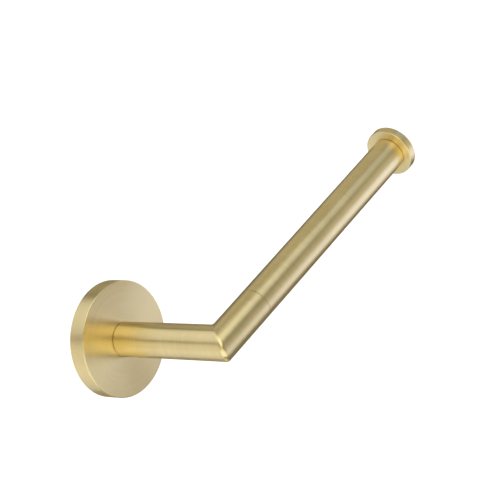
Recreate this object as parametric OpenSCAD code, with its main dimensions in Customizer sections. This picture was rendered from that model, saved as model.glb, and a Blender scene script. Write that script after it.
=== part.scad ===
// Wall-mounted toilet paper holder: a round cover plate on a hidden wall plate,
// a mitred L of round tube that lifts about the post, and a turning roll sleeve.
// Frame: the origin is the centre of the cover plate's back, on the wall.
// The post runs along -Y, out of the wall, the arm along +X, and +Z is up.

/* [Cover plate] */
// Diameter of the round cover plate
rosette_d = 55; // [52:0.5:80]
// Depth of the cover plate, from the wall to its front face
rosette_t = 8.5; // [8.1:0.1:14]
// Thickness of its front wall, which carries the pivot
rosette_front = 3; // [2.4:0.1:3.3]
// Thickness of its rim, which holds the set screw
rosette_rim = 4.3; // [3.5:0.1:6]
// Bevel on the visible edges of the cover plate and the end cap
edge_bevel = 0.4; // [0.2:0.1:0.8]

/* [Tube] */
// Outside diameter of the post, the elbow and the roll sleeve
tube_d = 16.5; // [15.5:0.5:24]
// Wall of the post and elbow tubes
tube_wall = 1.5; // [0.8:0.1:2]
// Wall of the roll sleeve
sleeve_wall = 1.2; // [0.8:0.1:1.6]

/* [Post and arm] */
// Distance from the wall to the arm's axis
arm_reach = 67.8; // [50:0.1:110]
// Distance from the post's axis to the seam where the sleeve begins
seam_x = 29; // [26:0.5:70]
// Length of the turning roll sleeve
sleeve_len = 126.6; // [90:0.1:150]
// Width of the seam at each running face
seam_gap = 0.2; // [0.15:0.05:0.6]
// Diameter of the end cap
cap_d = 25; // [20:0.5:36]
// Thickness of the end cap
cap_t = 4.5; // [3.5:0.1:8]

/* [Pivot and bearings] */
// Diameter of the pivot journal and of both sleeve journals
journal_d = 10; // [9:0.5:12]
// Length of each plug inside its tube
plug_len = 14; // [12:0.5:20]
// Wall of the pivot bush in the cover plate
pivot_bush_wall = 1; // [0.8:0.1:1.5]
// Length of each sleeve bush
sleeve_bush_len = 10; // [6:0.5:16]
// Thickness of each bush's flange, which sits in a counterbore
bush_flange_t = 0.8; // [0.7:0.1:1.2]
// How far the arm lifts from level, in degrees
swing = 90; // [30:5:180]
// Diameter of the stop pin
stop_pin_d = 2; // [1.5:0.1:2.5]
// Thickness of the stop washer
stop_washer_t = 1.2; // [1:0.1:1.5]
// Working height of the wave washer
wave_h = 0.9; // [0.7:0.05:1.2]

/* [Fasteners] */
// Thread diameter of the pivot screw
pivot_screw_d = 5; // [4:0.5:5]
// Thread diameter of the tie rod
tie_rod_d = 6; // [5:0.5:6]
// Thread diameter of the set screw
set_screw_d = 4; // [3:0.5:4]
// Length of the set screw
set_screw_len = 4; // [3.5:0.1:5]

/* [Wall plate] */
// Thickness of the wall plate's base
plate_base = 2; // [1.5:0.1:2.5]
// Thickness of its turned-up flange
plate_flange = 1.8; // [1.6:0.1:2.5]
// Diameter of its two wall screw holes
plate_hole_d = 4.5; // [4:0.1:5.5]

/* [Hidden] */
$fn = 96;

// Clearances
run_clear = 0.05;    // radial, journal in bush
end_play = 0.06;     // axial, at each running face
fit_clear = 0.02;    // radial, pressed, brazed and threaded fits
slip_clear = 0.2;    // radial, cover plate over wall plate
over = 1;            // how far a cutter runs past what it cuts

// Radii that the parts share
rosette_r = rosette_d / 2;
tube_r = tube_d / 2;
tube_bore_r = tube_r - tube_wall;
sleeve_bore_r = tube_r - sleeve_wall;
journal_r = journal_d / 2;
pivot_bush_r = journal_r + run_clear + pivot_bush_wall;
pin_r = stop_pin_d / 2;
flange_r = tube_r - 0.6;                            // bush flanges sit under the tube's surface
flange_sunk = bush_flange_t - seam_gap + end_play;  // depth of the counterbore for a flange

// Places along the post, measured out from the wall
recess_depth = rosette_t - rosette_front;
post_start = rosette_t + seam_gap;
washer_front = recess_depth - wave_h - 2 * run_clear;
washer_back = washer_front - stop_washer_t;

// Places along the arm, measured from the post's axis
sleeve_start = seam_x + seam_gap;
sleeve_end = sleeve_start + sleeve_len;
cap_x = sleeve_end + seam_gap;
journal_len = seam_gap + sleeve_bush_len + 1;

// Pivot hardware behind the cover plate's front wall
key_r = journal_r - 1;            // round of the two-flat key on the journal's tip
key_flat = key_r - 1;             // half the distance across its flats
wave_r = journal_r + 3;
pin_ring_r = wave_r + 0.5 + pin_r;
stop_slot_r = pin_r + 0.1;
stop_washer_r = pin_ring_r + stop_slot_r + 0.9;
pin_angle = 90;                   // the pin is straight above the pivot
pin_depth = rosette_front - 0.8;
pivot_head_r = 0.95 * pivot_screw_d;
pivot_head_h = 0.52 * pivot_screw_d;
pivot_screw_len = 10;

// Wall plate and the set screw that grips its groove
recess_r = rosette_r - rosette_rim;
plate_r = recess_r - slip_clear;
plate_h = recess_depth - 0.3;
plate_flange_r = plate_r - plate_flange;
plate_open_r = stop_washer_r + 1.3;
hole_ring_r = (plate_open_r + plate_flange_r) / 2;
set_r = set_screw_d / 2;
groove_depth = 0.85;
groove_half = 0.5 * set_r;        // half its width at the bottom
groove_slope = 0.9;
grip_depth = plate_h / 2;
point_r = groove_half - 0.1;
point_len = groove_depth + slip_clear;
set_tip_r = plate_r - groove_depth + 0.05;

// Tie rod
tie_r = tie_rod_d / 2;
tie_grip = 10;                    // thread depth below the stub's end face
cap_thread = cap_t - 2.5;         // thread depth past the cap's inner face

BRASS = "#cdb77c";
STEEL = "#a9abad";
ZINC = "#8f9396";
ACETAL = "#2b2b2b";

// Local z runs out of the wall from depth d, and local y is up
module on_post(d = 0) {
    translate([0, -d, 0]) rotate([90, 0, 0]) children();
}

// Local z runs along the arm from distance x
module on_arm(x = 0) {
    translate([x, -arm_reach, 0]) rotate([0, 90, 0]) children();
}

module ring(outer, inner, h) {
    difference() {
        cylinder(r = outer, h = h);
        translate([0, 0, -over]) cylinder(r = inner, h = h + 2 * over);
    }
}

// Counterbore for a bush's flange, as a cutter into a face at height 0 from below
module flange_seat() {
    translate([0, 0, -over]) cylinder(r = flange_r + fit_clear, h = flange_sunk + over);
}

// A disc whose far edge, and near edge too when both is true, is bevelled
module bevelled_disc(r, h, bevel, both = false) {
    near = both ? bevel : 0;
    rotate_extrude() polygon([
        [0, 0], [r - near, 0], [r, near], [r, h - bevel], [r - bevel, h], [0, h]
    ]);
}

// Hexagon socket, as a cutter that opens upwards at height h
module hex_socket(across, depth, h) {
    translate([0, 0, h - depth]) cylinder(r = across / 2 / cos(30), h = depth + over, $fn = 6);
}

// Bush in a part whose face is at height 0: barrel upwards, flange up out of its seat
module flanged_bush(outer, bore, len) {
    proud = bush_flange_t - flange_sunk;
    difference() {
        union() {
            cylinder(r = outer, h = len);
            translate([0, 0, -proud]) cylinder(r = flange_r, h = bush_flange_t);
        }
        translate([0, 0, -proud - over]) cylinder(r = bore, h = len + proud + 2 * over);
    }
}

// The half space past the elbow's 45 degree plane, on the wall's side or the arm's
module mitre_side(arm_side) {
    size = 4 * tube_d;
    translate([0, -arm_reach, 0]) rotate([0, 0, -45])
        translate([arm_side ? 0 : -size, -size / 2, -size / 2]) cube(size);
}

module wall_plate() {
    g = grip_depth;
    top = groove_half + groove_slope;
    floor_r = plate_r - groove_depth;
    color(ZINC) on_post() difference() {
        rotate_extrude() polygon([
            [plate_open_r, 0], [plate_r, 0],
            [plate_r, g - top], [floor_r, g - groove_half],
            [floor_r, g + groove_half], [plate_r, g + top],
            [plate_r, plate_h], [plate_flange_r, plate_h],
            [plate_flange_r, plate_base], [plate_open_r, plate_base]
        ]);
        for (side = [-1, 1]) translate([side * hole_ring_r, 0, -over])
            cylinder(d = plate_hole_d, h = plate_base + 2 * over);
    }
}

module rosette() {
    color(BRASS) on_post() difference() {
        bevelled_disc(rosette_r, rosette_t, edge_bevel);
        translate([0, 0, -over]) cylinder(r = recess_r, h = recess_depth + over);
        cylinder(r = pivot_bush_r + fit_clear, h = rosette_t + over);
        translate([0, 0, rosette_t]) mirror([0, 0, 1]) flange_seat();
        rotate([0, 0, pin_angle]) translate([pin_ring_r, 0, recess_depth - over])
            cylinder(r = pin_r, h = pin_depth + over);
        translate([0, 0, grip_depth]) rotate([90, 0, 0]) translate([0, 0, recess_r - over])
            cylinder(r = set_r + fit_clear, h = rosette_rim + 2 * over);
    }
}

module pivot_bush() {
    color(ACETAL) on_post(rosette_t) mirror([0, 0, 1])
        flanged_bush(pivot_bush_r, journal_r + run_clear, rosette_front);
}

module stop_pin() {
    tail = washer_back - 0.2;
    color(STEEL) on_post() rotate([0, 0, pin_angle]) translate([pin_ring_r, 0, tail])
        cylinder(r = pin_r, h = recess_depth + pin_depth - tail);
}

// Three-wave spring ring, pressed between the front wall and the stop washer
module wave_washer() {
    steps = 60;
    waves = 3;
    leaf = 0.3;
    inner = journal_r + 0.3;
    middle = washer_front + run_clear + wave_h / 2;
    function lift(a) = middle + (wave_h - leaf) / 2 * cos(waves * a);
    points = [for (i = [0 : steps - 1]) let (a = 360 * i / steps, z = lift(a))
        for (c = [[inner, -1], [wave_r, -1], [wave_r, 1], [inner, 1]])
            [c[0] * cos(a), c[0] * sin(a), z + c[1] * leaf / 2]];
    faces = [for (i = [0 : steps - 1], k = [0 : 3])
        let (a = 4 * i, b = 4 * ((i + 1) % steps), n = (k + 1) % 4)
            for (f = [[a + k, b + n, b + k], [a + k, a + n, b + n]]) f];
    color(STEEL) on_post() polyhedron(points, faces);
}

// Local z of the screw points straight down, out of the rim
module set_screw() {
    color(STEEL) on_post(grip_depth) rotate([90, 0, 0]) translate([0, 0, set_tip_r]) difference() {
        union() {
            cylinder(r1 = point_r, r2 = set_r, h = point_len);
            translate([0, 0, point_len]) cylinder(r = set_r, h = set_screw_len - point_len);
        }
        hex_socket(set_screw_d / 2, set_screw_d * 0.45, set_screw_len);
    }
}

module pivot_journal() {
    color(BRASS) on_post() difference() {
        union() {
            translate([0, 0, post_start]) cylinder(r = tube_bore_r - fit_clear, h = plug_len);
            translate([0, 0, washer_front]) cylinder(r = journal_r, h = post_start - washer_front);
            translate([0, 0, washer_back + run_clear]) intersection() {
                cylinder(r = key_r, h = stop_washer_t);
                translate([-key_flat, -key_r, 0]) cube([2 * key_flat, 2 * key_r, stop_washer_t]);
            }
        }
        translate([0, 0, washer_back - over])
            cylinder(r = pivot_screw_d / 2 + fit_clear, h = pivot_screw_len + 2 * over);
    }
}

// Keyed to the journal; its curved slot runs against the stop pin
module stop_washer() {
    hole = key_r + fit_clear;
    flat = key_flat + fit_clear;
    height = stop_washer_t + 2 * over;
    color(ZINC) on_post(washer_back) difference() {
        cylinder(r = stop_washer_r, h = stop_washer_t);
        translate([0, 0, -over]) intersection() {
            cylinder(r = hole, h = height);
            translate([-flat, -hole, 0]) cube([2 * flat, 2 * hole, height]);
        }
        translate([0, 0, -over]) {
            rotate([0, 0, pin_angle - swing]) rotate_extrude(angle = swing)
                translate([pin_ring_r - stop_slot_r, 0]) square([2 * stop_slot_r, height]);
            for (a = [pin_angle - swing, pin_angle]) rotate([0, 0, a])
                translate([pin_ring_r, 0, 0]) cylinder(r = stop_slot_r, h = height);
        }
    }
}

// Low round-head screw that holds the stop washer on the journal
module pivot_screw() {
    r = pivot_screw_d / 2;
    h = pivot_head_h;
    color(STEEL) on_post(washer_back) difference() {
        union() {
            cylinder(r = r, h = pivot_screw_len);
            rotate_extrude() polygon([
                [0, 0], [pivot_head_r, 0], [pivot_head_r, -0.3 * h],
                for (a = [0 : 15 : 75]) [
                    pivot_head_r * (0.45 + 0.55 * cos(a)), -h * (0.3 + 0.7 * sin(a))
                ],
                [0.6 * r, -h], [0, -h]
            ]);
        }
        translate([0, 0, -h]) mirror([0, 0, 1]) hex_socket(0.6 * pivot_screw_d, 0.6 * h, 0);
    }
}

module post_tube() {
    color(BRASS) difference() {
        on_post(post_start) ring(tube_r, tube_bore_r, arm_reach + tube_r - post_start);
        mitre_side(true);
    }
}

module elbow_tube() {
    color(BRASS) difference() {
        on_arm(-tube_r) ring(tube_r, tube_bore_r, seam_x + tube_r);
        mitre_side(false);
    }
}

// Plug in the elbow's open end, with the journal that the sleeve turns on
module sleeve_journal() {
    color(BRASS) on_arm(seam_x) difference() {
        union() {
            translate([0, 0, -plug_len]) cylinder(r = tube_bore_r - fit_clear, h = plug_len);
            cylinder(r = journal_r, h = journal_len);
        }
        translate([0, 0, -tie_grip]) cylinder(r = tie_r + fit_clear, h = tie_grip + journal_len + over);
    }
}

module tie_rod() {
    start = seam_x - tie_grip + 0.5;
    color(STEEL) on_arm(start)
        bevelled_disc(tie_r, cap_x + cap_thread - 0.5 - start, 0.5, both = true);
}

module end_cap() {
    color(BRASS) on_arm(cap_x) difference() {
        union() {
            bevelled_disc(cap_d / 2, cap_t, edge_bevel, both = true);
            translate([0, 0, -journal_len]) cylinder(r = journal_r, h = journal_len + edge_bevel);
        }
        translate([0, 0, -journal_len - over])
            cylinder(r = tie_r + fit_clear, h = journal_len + over + cap_thread);
    }
}

module roll_sleeve() {
    color(BRASS) on_arm(sleeve_start) difference() {
        ring(tube_r, sleeve_bore_r, sleeve_len);
        flange_seat();
        translate([0, 0, sleeve_len]) mirror([0, 0, 1]) flange_seat();
    }
}

module sleeve_bush() {
    flanged_bush(sleeve_bore_r - fit_clear, journal_r + run_clear, sleeve_bush_len);
}

module inner_bush() {
    color(ACETAL) on_arm(sleeve_start) sleeve_bush();
}

module outer_bush() {
    color(ACETAL) on_arm(sleeve_end) mirror([0, 0, 1]) sleeve_bush();
}

wall_plate();
rosette();
pivot_bush();
stop_pin();
wave_washer();
set_screw();
pivot_journal();
stop_washer();
pivot_screw();
post_tube();
elbow_tube();
sleeve_journal();
tie_rod();
end_cap();
roll_sleeve();
inner_bush();
outer_bush();
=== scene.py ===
"""Looks of a wall-mounted toilet paper holder in brushed brass.

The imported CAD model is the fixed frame. Each piece is modelled here again with
its rounded edges, threads and finish, in metres, in the frame's own place: the
post stands out of the wall along -Y, the arm runs along +X and +Z is up.
"""
import logging
import math
from dataclasses import dataclass, field
from enum import Enum
from typing import Callable, Sequence

import bmesh
import bpy
from mathutils import Matrix, Vector


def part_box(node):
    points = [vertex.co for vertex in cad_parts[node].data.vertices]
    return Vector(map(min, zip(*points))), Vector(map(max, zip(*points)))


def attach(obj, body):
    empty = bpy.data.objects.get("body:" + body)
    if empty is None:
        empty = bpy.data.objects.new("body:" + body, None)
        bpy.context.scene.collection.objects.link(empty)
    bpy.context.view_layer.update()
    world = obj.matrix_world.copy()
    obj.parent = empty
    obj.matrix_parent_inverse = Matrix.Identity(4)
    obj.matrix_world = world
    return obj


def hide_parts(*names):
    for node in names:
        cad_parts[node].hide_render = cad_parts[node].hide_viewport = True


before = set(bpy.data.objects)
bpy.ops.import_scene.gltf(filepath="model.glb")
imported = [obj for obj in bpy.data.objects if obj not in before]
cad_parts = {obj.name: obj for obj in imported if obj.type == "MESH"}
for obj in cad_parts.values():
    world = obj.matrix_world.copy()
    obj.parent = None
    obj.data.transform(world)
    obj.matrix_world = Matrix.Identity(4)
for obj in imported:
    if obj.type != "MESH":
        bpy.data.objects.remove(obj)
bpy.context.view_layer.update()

MM = 0.001
SIDES = 160                  # facets round a visible tube or disc
FINE_SIDES = 96              # facets round a small or hidden part
SMALL_SIDES = 48             # facets round a pin or a narrow slot
ROUNDING_STEPS = 4           # facets across a rounded edge
SMOOTH_ANGLE = math.radians(32)
TINY = 2e-6                  # how near two places count as the same
HEX_CORNER = math.cos(math.pi / 6)    # a hexagon's flat over its corner, both from the middle
END_PLAY = 0.06 * MM         # axial play at each running face

BURR = 0.1 * MM              # widths of broken edges, from a burr taken off
LIGHT = 0.15 * MM
PLAIN = 0.2 * MM
SOFT = 0.25 * MM
LEAD = 0.4 * MM              # to one that leads a plug into its hole
QUARTER_TURN = 0.25          # of the anisotropy, which the shader counts in turns
FULL_WEIGHT = 100            # how strongly large faces hold their normals

NOISE_LOW = 0.3              # a noise texture's values mostly lie between these
NOISE_HIGH = 0.7

Colour = tuple[float, float, float, float]
WHITE: Colour = (1.0, 1.0, 1.0, 1.0)

log = logging.getLogger("holder")


# ---------------------------------------------------------------- measuring


@dataclass(frozen=True)
class Axis:
    """A line that parts are turned about.

    Attributes:
        start: Point where the stations begin.
        along: Unit direction in which they grow.
    """

    start: Vector
    along: Vector

    def at(self, station: float) -> Vector:
        """Return the point on the line at a station."""
        return self.start + self.along * station

    def station(self, point: Vector) -> float:
        """Return how far along the line a point lies."""
        return (point - self.start).dot(self.along)

    def radius(self, point: Vector) -> float:
        """Return how far from the line a point lies."""
        return (point - self.at(self.station(point))).length

    def turn(self) -> Matrix:
        """Return the rotation that takes +Z to the line's direction."""
        return self.along.to_track_quat("Z", "Y").to_matrix().to_4x4()


@dataclass(frozen=True)
class Layout:
    """Where the CAD frame puts the holder's parts, in metres.

    Stations on the post are counted out from the wall, and stations on the
    arm from the post's axis.
    """

    plate_r: float        # cover plate
    plate_t: float
    tube_r: float         # post, elbow and sleeve
    post_start: float
    reach: float          # wall to the arm's axis
    seam: float           # end of the elbow
    sleeve_start: float
    sleeve_end: float
    cap_start: float
    cap_end: float
    cap_r: float
    spigot_start: float   # free end of the cap's journal
    stub_end: float       # free end of the elbow's journal
    stub_plug: float      # buried end of the elbow's plug
    post_plug: float      # buried end of the post's plug
    base_h: float         # wall plate
    base_r: float
    washer: tuple[float, float]    # stop washer's back and front
    washer_r: float
    wave: tuple[float, float]      # wave washer's back and front
    pin: tuple[float, float]       # stop pin's back and front
    pin_ring: float                # its distance above the pivot
    pin_r: float
    screw: tuple[float, float]     # pivot screw's head and tip
    grub: tuple[float, float]      # set screw's point and outer end, below the pivot
    grub_depth: float              # its distance from the wall
    rod: tuple[float, float]       # tie rod's ends
    flange_r: float                # bush flanges

    @classmethod
    def read(cls) -> "Layout":
        """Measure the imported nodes.

        Returns:
            The layout, worked out from the nodes' boxes.
        """
        def low(node: str) -> Vector:
            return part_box(node)[0]

        def high(node: str) -> Vector:
            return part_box(node)[1]

        return cls(
            plate_r=high("rosette").x,
            plate_t=-low("rosette").y,
            tube_r=high("roll_sleeve").z,
            post_start=-high("post_tube").y,
            reach=-(low("roll_sleeve").y + high("roll_sleeve").y) / 2,
            seam=high("elbow_tube").x,
            sleeve_start=low("roll_sleeve").x,
            sleeve_end=high("roll_sleeve").x,
            cap_start=high("outer_bush").x + END_PLAY,
            cap_end=high("end_cap").x,
            cap_r=high("end_cap").z,
            spigot_start=low("end_cap").x,
            stub_end=high("sleeve_journal").x,
            stub_plug=low("sleeve_journal").x,
            post_plug=-low("pivot_journal").y,
            base_h=-low("wall_plate").y,
            base_r=high("wall_plate").x,
            washer=(-high("stop_washer").y, -low("stop_washer").y),
            washer_r=high("stop_washer").x,
            wave=(-high("wave_washer").y, -low("wave_washer").y),
            pin=(-high("stop_pin").y, -low("stop_pin").y),
            pin_ring=(low("stop_pin").z + high("stop_pin").z) / 2,
            pin_r=high("stop_pin").x,
            screw=(-high("pivot_screw").y, -low("pivot_screw").y),
            grub=(-high("set_screw").z, -low("set_screw").z),
            grub_depth=-(low("set_screw").y + high("set_screw").y) / 2,
            rod=(low("tie_rod").x, high("tie_rod").x),
            flange_r=high("inner_bush").z,
        )

    @property
    def post(self) -> Axis:
        """Line through the post, out of the wall."""
        return Axis(Vector((0, 0, 0)), Vector((0, -1, 0)))

    @property
    def arm(self) -> Axis:
        """Line through the arm, from the post's axis to the open end."""
        return Axis(Vector((0, -self.reach, 0)), Vector((1, 0, 0)))

    @property
    def drop(self) -> Axis:
        """Line through the set screw, straight down out of the rim."""
        return Axis(Vector((0, -self.grub_depth, 0)), Vector((0, 0, -1)))

    @property
    def dowel(self) -> Axis:
        """Line through the stop pin, out of the wall."""
        return Axis(Vector((0, 0, self.pin_ring)), Vector((0, -1, 0)))


# ---------------------------------------------------------------- modelling


@dataclass(frozen=True)
class Corner:
    """One corner of a turned part's outline.

    Attributes:
        station: Place along the part's axis.
        radius: Distance from the axis.
        rounding: Width of the rounded edge there, or 0 for a sharp one.
    """

    station: float
    radius: float
    rounding: float = 0.0


def pick_edges(piece: bpy.types.Object, wanted: Callable[[Vector], bool]) -> int:
    """Select the edges whose two ends are both wanted, in edit mode.

    Args:
        piece: The object being edited.
        wanted: Test of a vertex's place.

    Returns:
        How many edges were selected.
    """
    bpy.ops.mesh.select_mode(type="EDGE")
    bpy.ops.mesh.select_all(action="DESELECT")
    mesh = bmesh.from_edit_mesh(piece.data)
    count = 0
    for edge in mesh.edges:
        if wanted(edge.verts[0].co) and wanted(edge.verts[1].co):
            edge.select_set(True)
            count += 1
    mesh.select_flush_mode()
    bmesh.update_edit_mesh(piece.data)
    return count


def name_piece(name: str) -> bpy.types.Object:
    """Name the newest object, put its place in its mesh and return it."""
    piece = bpy.context.object
    piece.name = name
    piece.data.name = name
    bpy.ops.object.transform_apply(location=True, rotation=True, scale=True)
    return piece


def choose(piece: bpy.types.Object) -> None:
    """Make a piece the only selected object, and the active one."""
    bpy.ops.object.select_all(action="DESELECT")
    piece.select_set(True)
    bpy.context.view_layer.objects.active = piece


def sweep_outline(axis: Axis, before: Corner, corners: Sequence[Corner]) -> None:
    """Extrude the selected ring from corner to corner of an outline.

    Args:
        axis: Line that the part is turned about.
        before: Corner at which the ring stands.
        corners: The corners that follow it.
    """
    for corner in corners:
        step = axis.along * (corner.station - before.station)
        bpy.ops.mesh.extrude_region_move(TRANSFORM_OT_translate={"value": step})
        scale = corner.radius / before.radius
        bpy.ops.transform.resize(value=(scale, scale, scale), center_override=axis.at(corner.station))
        before = corner


def turn_part(
    name: str, axis: Axis, corners: Sequence[Corner], hollow: bool = False, sides: int = FINE_SIDES
) -> bpy.types.Object:
    """Turn a part from its outline, with rounded edges.

    Args:
        name: Name of the new piece.
        axis: Line that the part is turned about.
        corners: Its outline, end to end, or right round for a hollow part.
        hollow: Whether the outline closes on itself round a bore.
        sides: Facets round the part.

    Returns:
        The new piece.
    """
    bpy.ops.object.select_all(action="DESELECT")
    bpy.ops.mesh.primitive_circle_add(
        vertices=sides,
        radius=corners[0].radius,
        fill_type="NOTHING",
        location=axis.at(corners[0].station),
        rotation=axis.turn().to_euler(),
    )
    piece = name_piece(name)
    bpy.ops.object.mode_set(mode="EDIT")
    bpy.ops.mesh.select_all(action="SELECT")
    rest = list(corners[1:])
    sweep_outline(axis, corners[0], rest + [corners[0]] if hollow else rest)
    bpy.ops.mesh.select_all(action="SELECT")
    if hollow:
        bpy.ops.mesh.remove_doubles(threshold=TINY)
    else:
        bpy.ops.mesh.fill_holes(sides=0)
    bpy.ops.mesh.normals_make_consistent(inside=False)
    for corner in corners:
        if corner.rounding > 0:
            round_loop(piece, axis, corner)
    bpy.ops.object.mode_set(mode="OBJECT")
    return piece


def round_loop(piece: bpy.types.Object, axis: Axis, corner: Corner) -> None:
    """Round the ring of edges at one corner, in edit mode.

    Args:
        piece: The object being edited.
        axis: Line that the part is turned about.
        corner: The corner, with its rounding.
    """
    def on_ring(point: Vector) -> bool:
        near = abs(axis.station(point) - corner.station) < TINY
        return near and abs(axis.radius(point) - corner.radius) < TINY

    if pick_edges(piece, on_ring):
        bpy.ops.mesh.bevel(
            offset=corner.rounding, segments=ROUNDING_STEPS, profile=0.5, affect="EDGES"
        )


def smooth(piece: bpy.types.Object) -> None:
    """Shade a finished piece smooth, with its flat faces kept flat."""
    choose(piece)
    bpy.ops.object.shade_smooth_by_angle(angle=SMOOTH_ANGLE)
    weigh = piece.modifiers.new("weigh", "WEIGHTED_NORMAL")
    weigh.keep_sharp = True
    weigh.weight = FULL_WEIGHT
    bpy.ops.object.modifier_apply(modifier=weigh.name)


def cut_away(piece: bpy.types.Object, cutter: bpy.types.Object) -> None:
    """Cut one solid out of another, and throw the cutter away.

    Args:
        piece: The solid that is kept.
        cutter: The solid that is cut out of it.
    """
    choose(piece)
    cut = piece.modifiers.new("cut", "BOOLEAN")
    cut.operation = "DIFFERENCE"
    cut.solver = "EXACT"
    cut.object = cutter
    bpy.ops.object.modifier_apply(modifier=cut.name)
    bpy.data.objects.remove(cutter)


def drill(
    piece: bpy.types.Object, axis: Axis, span: tuple[float, float], radius: float, sides: int = FINE_SIDES
) -> None:
    """Drill a hole, or press a polygon socket, into a piece.

    Args:
        piece: The solid to drill.
        axis: Line of the hole.
        span: Stations where the cutter starts and ends.
        radius: Radius of the hole, to the corners where it has few sides.
        sides: Facets round the hole.
    """
    bpy.ops.object.select_all(action="DESELECT")
    bpy.ops.mesh.primitive_cylinder_add(
        vertices=sides,
        radius=radius,
        depth=span[1] - span[0],
        location=axis.at((span[0] + span[1]) / 2),
        rotation=axis.turn().to_euler(),
    )
    cut_away(piece, name_piece("cutter"))


RUN_OUT = 0.25    # share of a thread's depth that is left where it ends


@dataclass(frozen=True)
class Thread:
    """A V thread on a turned part.

    Attributes:
        pitch: Distance from one turn to the next.
        depth: Depth of the groove.
        crest: Radius over the crests.
        span: Stations between which the thread runs.
    """

    pitch: float
    depth: float
    crest: float
    span: tuple[float, float]
    steps: int = 8    # rings in one turn

    def corners(self) -> list[Corner]:
        """Return evenly spaced corners, for the thread to be cut into."""
        count = max(2, round((self.span[1] - self.span[0]) / self.pitch * self.steps))
        length = self.span[1] - self.span[0]
        return [Corner(self.span[0] + length * i / count, self.crest) for i in range(count + 1)]

    def cut(self, piece: bpy.types.Object, axis: Axis) -> None:
        """Move the rings' vertices into a helical groove.

        Args:
            piece: The turned part.
            axis: Line that it is turned about.
        """
        turned_back = axis.turn().inverted()
        for vertex in piece.data.vertices:
            station = axis.station(vertex.co)
            inside = min(station - self.span[0], self.span[1] - station)
            if inside < -TINY or axis.radius(vertex.co) < self.crest - TINY:
                continue
            flat = turned_back @ (vertex.co - axis.at(station))
            phase = (station / self.pitch - math.atan2(flat.y, flat.x) / math.tau) % 1.0
            groove = self.depth * (1 - abs(2 * phase - 1)) * min(1.0, inside / self.pitch + RUN_OUT)
            centre = axis.at(station)
            vertex.co = centre + (vertex.co - centre) * (1 - groove / self.crest)


# ---------------------------------------------------------------- finishes


class Slot(Enum):
    """The record's material slots."""

    BRUSHED_BRASS = "brushed_brass"
    TURNED_BRASS = "turned_brass"
    PLATED_STEEL = "plated_steel"
    STAINLESS = "stainless_steel"
    ACETAL = "acetal"


class Graph:
    """A shader node tree that is being wired."""

    def __init__(self, tree: bpy.types.NodeTree) -> None:
        """Take hold of a tree, and empty it.

        Args:
            tree: The tree to wire.
        """
        self.tree = tree
        tree.nodes.clear()

    def add(self, kind: str, **settings: object) -> bpy.types.Node:
        """Add a node.

        Args:
            kind: Blender's name for the node's type.
            **settings: Properties to set on it.

        Returns:
            The new node.
        """
        node = self.tree.nodes.new(kind)
        for key, value in settings.items():
            setattr(node, key, value)
        return node

    def feed(self, socket: bpy.types.NodeSocket, source: object) -> None:
        """Link an output to a socket, or set the socket to a plain value."""
        if isinstance(source, bpy.types.NodeSocket):
            self.tree.links.new(source, socket)
        else:
            socket.default_value = source

    def math(self, operation: str, *inputs: object) -> bpy.types.NodeSocket:
        """Add a Math node and return its output."""
        node = self.add("ShaderNodeMath", operation=operation)
        for socket, source in zip(node.inputs, inputs):
            self.feed(socket, source)
        return node.outputs[0]

    def vector(self, operation: str, *inputs: object) -> bpy.types.NodeSocket:
        """Add a Vector Math node and return its vector or its value."""
        node = self.add("ShaderNodeVectorMath", operation=operation)
        for socket, source in zip(node.inputs, inputs):
            self.feed(socket, source)
        return node.outputs["Value" if operation in ("LENGTH", "DOT_PRODUCT") else "Vector"]

    def noise(self, place: object, scale: float, detail: float, rough: float = 0.5) -> bpy.types.NodeSocket:
        """Add a Noise Texture and return its value."""
        node = self.add("ShaderNodeTexNoise")
        self.feed(node.inputs["Vector"], place)
        node.inputs["Scale"].default_value = scale
        node.inputs["Detail"].default_value = detail
        node.inputs["Roughness"].default_value = rough
        return node.outputs["Fac"]

    def stretch(self, value: object) -> bpy.types.NodeSocket:
        """Stretch a noise's usual values over 0 to 1 and return the result."""
        node = self.add("ShaderNodeMapRange")
        self.feed(node.inputs["Value"], value)
        node.inputs["From Min"].default_value = NOISE_LOW
        node.inputs["From Max"].default_value = NOISE_HIGH
        return node.outputs["Result"]

    def spread(self, value: object, low: object, high: object) -> bpy.types.NodeSocket:
        """Map 0 to 1 onto a range and return the result."""
        node = self.add("ShaderNodeMapRange")
        self.feed(node.inputs["Value"], value)
        self.feed(node.inputs["To Min"], low)
        self.feed(node.inputs["To Max"], high)
        return node.outputs["Result"]

    def bump(self, height: object, strength: float, distance: float) -> bpy.types.NodeSocket:
        """Add a Bump node and return its normal."""
        node = self.add("ShaderNodeBump")
        node.inputs["Strength"].default_value = strength
        node.inputs["Distance"].default_value = distance
        self.feed(node.inputs["Height"], height)
        return node.outputs["Normal"]

    def blend(self, mask: object, first: object, second: object) -> bpy.types.NodeSocket:
        """Mix two colours by a mask and return the result."""
        node = self.add("ShaderNodeMix", data_type="RGBA")
        self.feed(node.inputs[0], mask)
        self.feed(node.inputs[6], first)
        self.feed(node.inputs[7], second)
        return node.outputs[2]


def open_material(name: str) -> tuple[bpy.types.Material, Graph, bpy.types.Node, bpy.types.Node]:
    """Make a material that holds one surface shader and the object's coordinates.

    Args:
        name: Name of the material.

    Returns:
        The material, its graph, its Principled shader and its Texture Coordinate node.
    """
    material = bpy.data.materials.new(name)
    material.use_nodes = True
    graph = Graph(material.node_tree)
    out = graph.add("ShaderNodeOutputMaterial")
    shader = graph.add("ShaderNodeBsdfPrincipled")
    graph.feed(out.inputs["Surface"], shader.outputs["BSDF"])
    return material, graph, shader, graph.add("ShaderNodeTexCoord")


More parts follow.
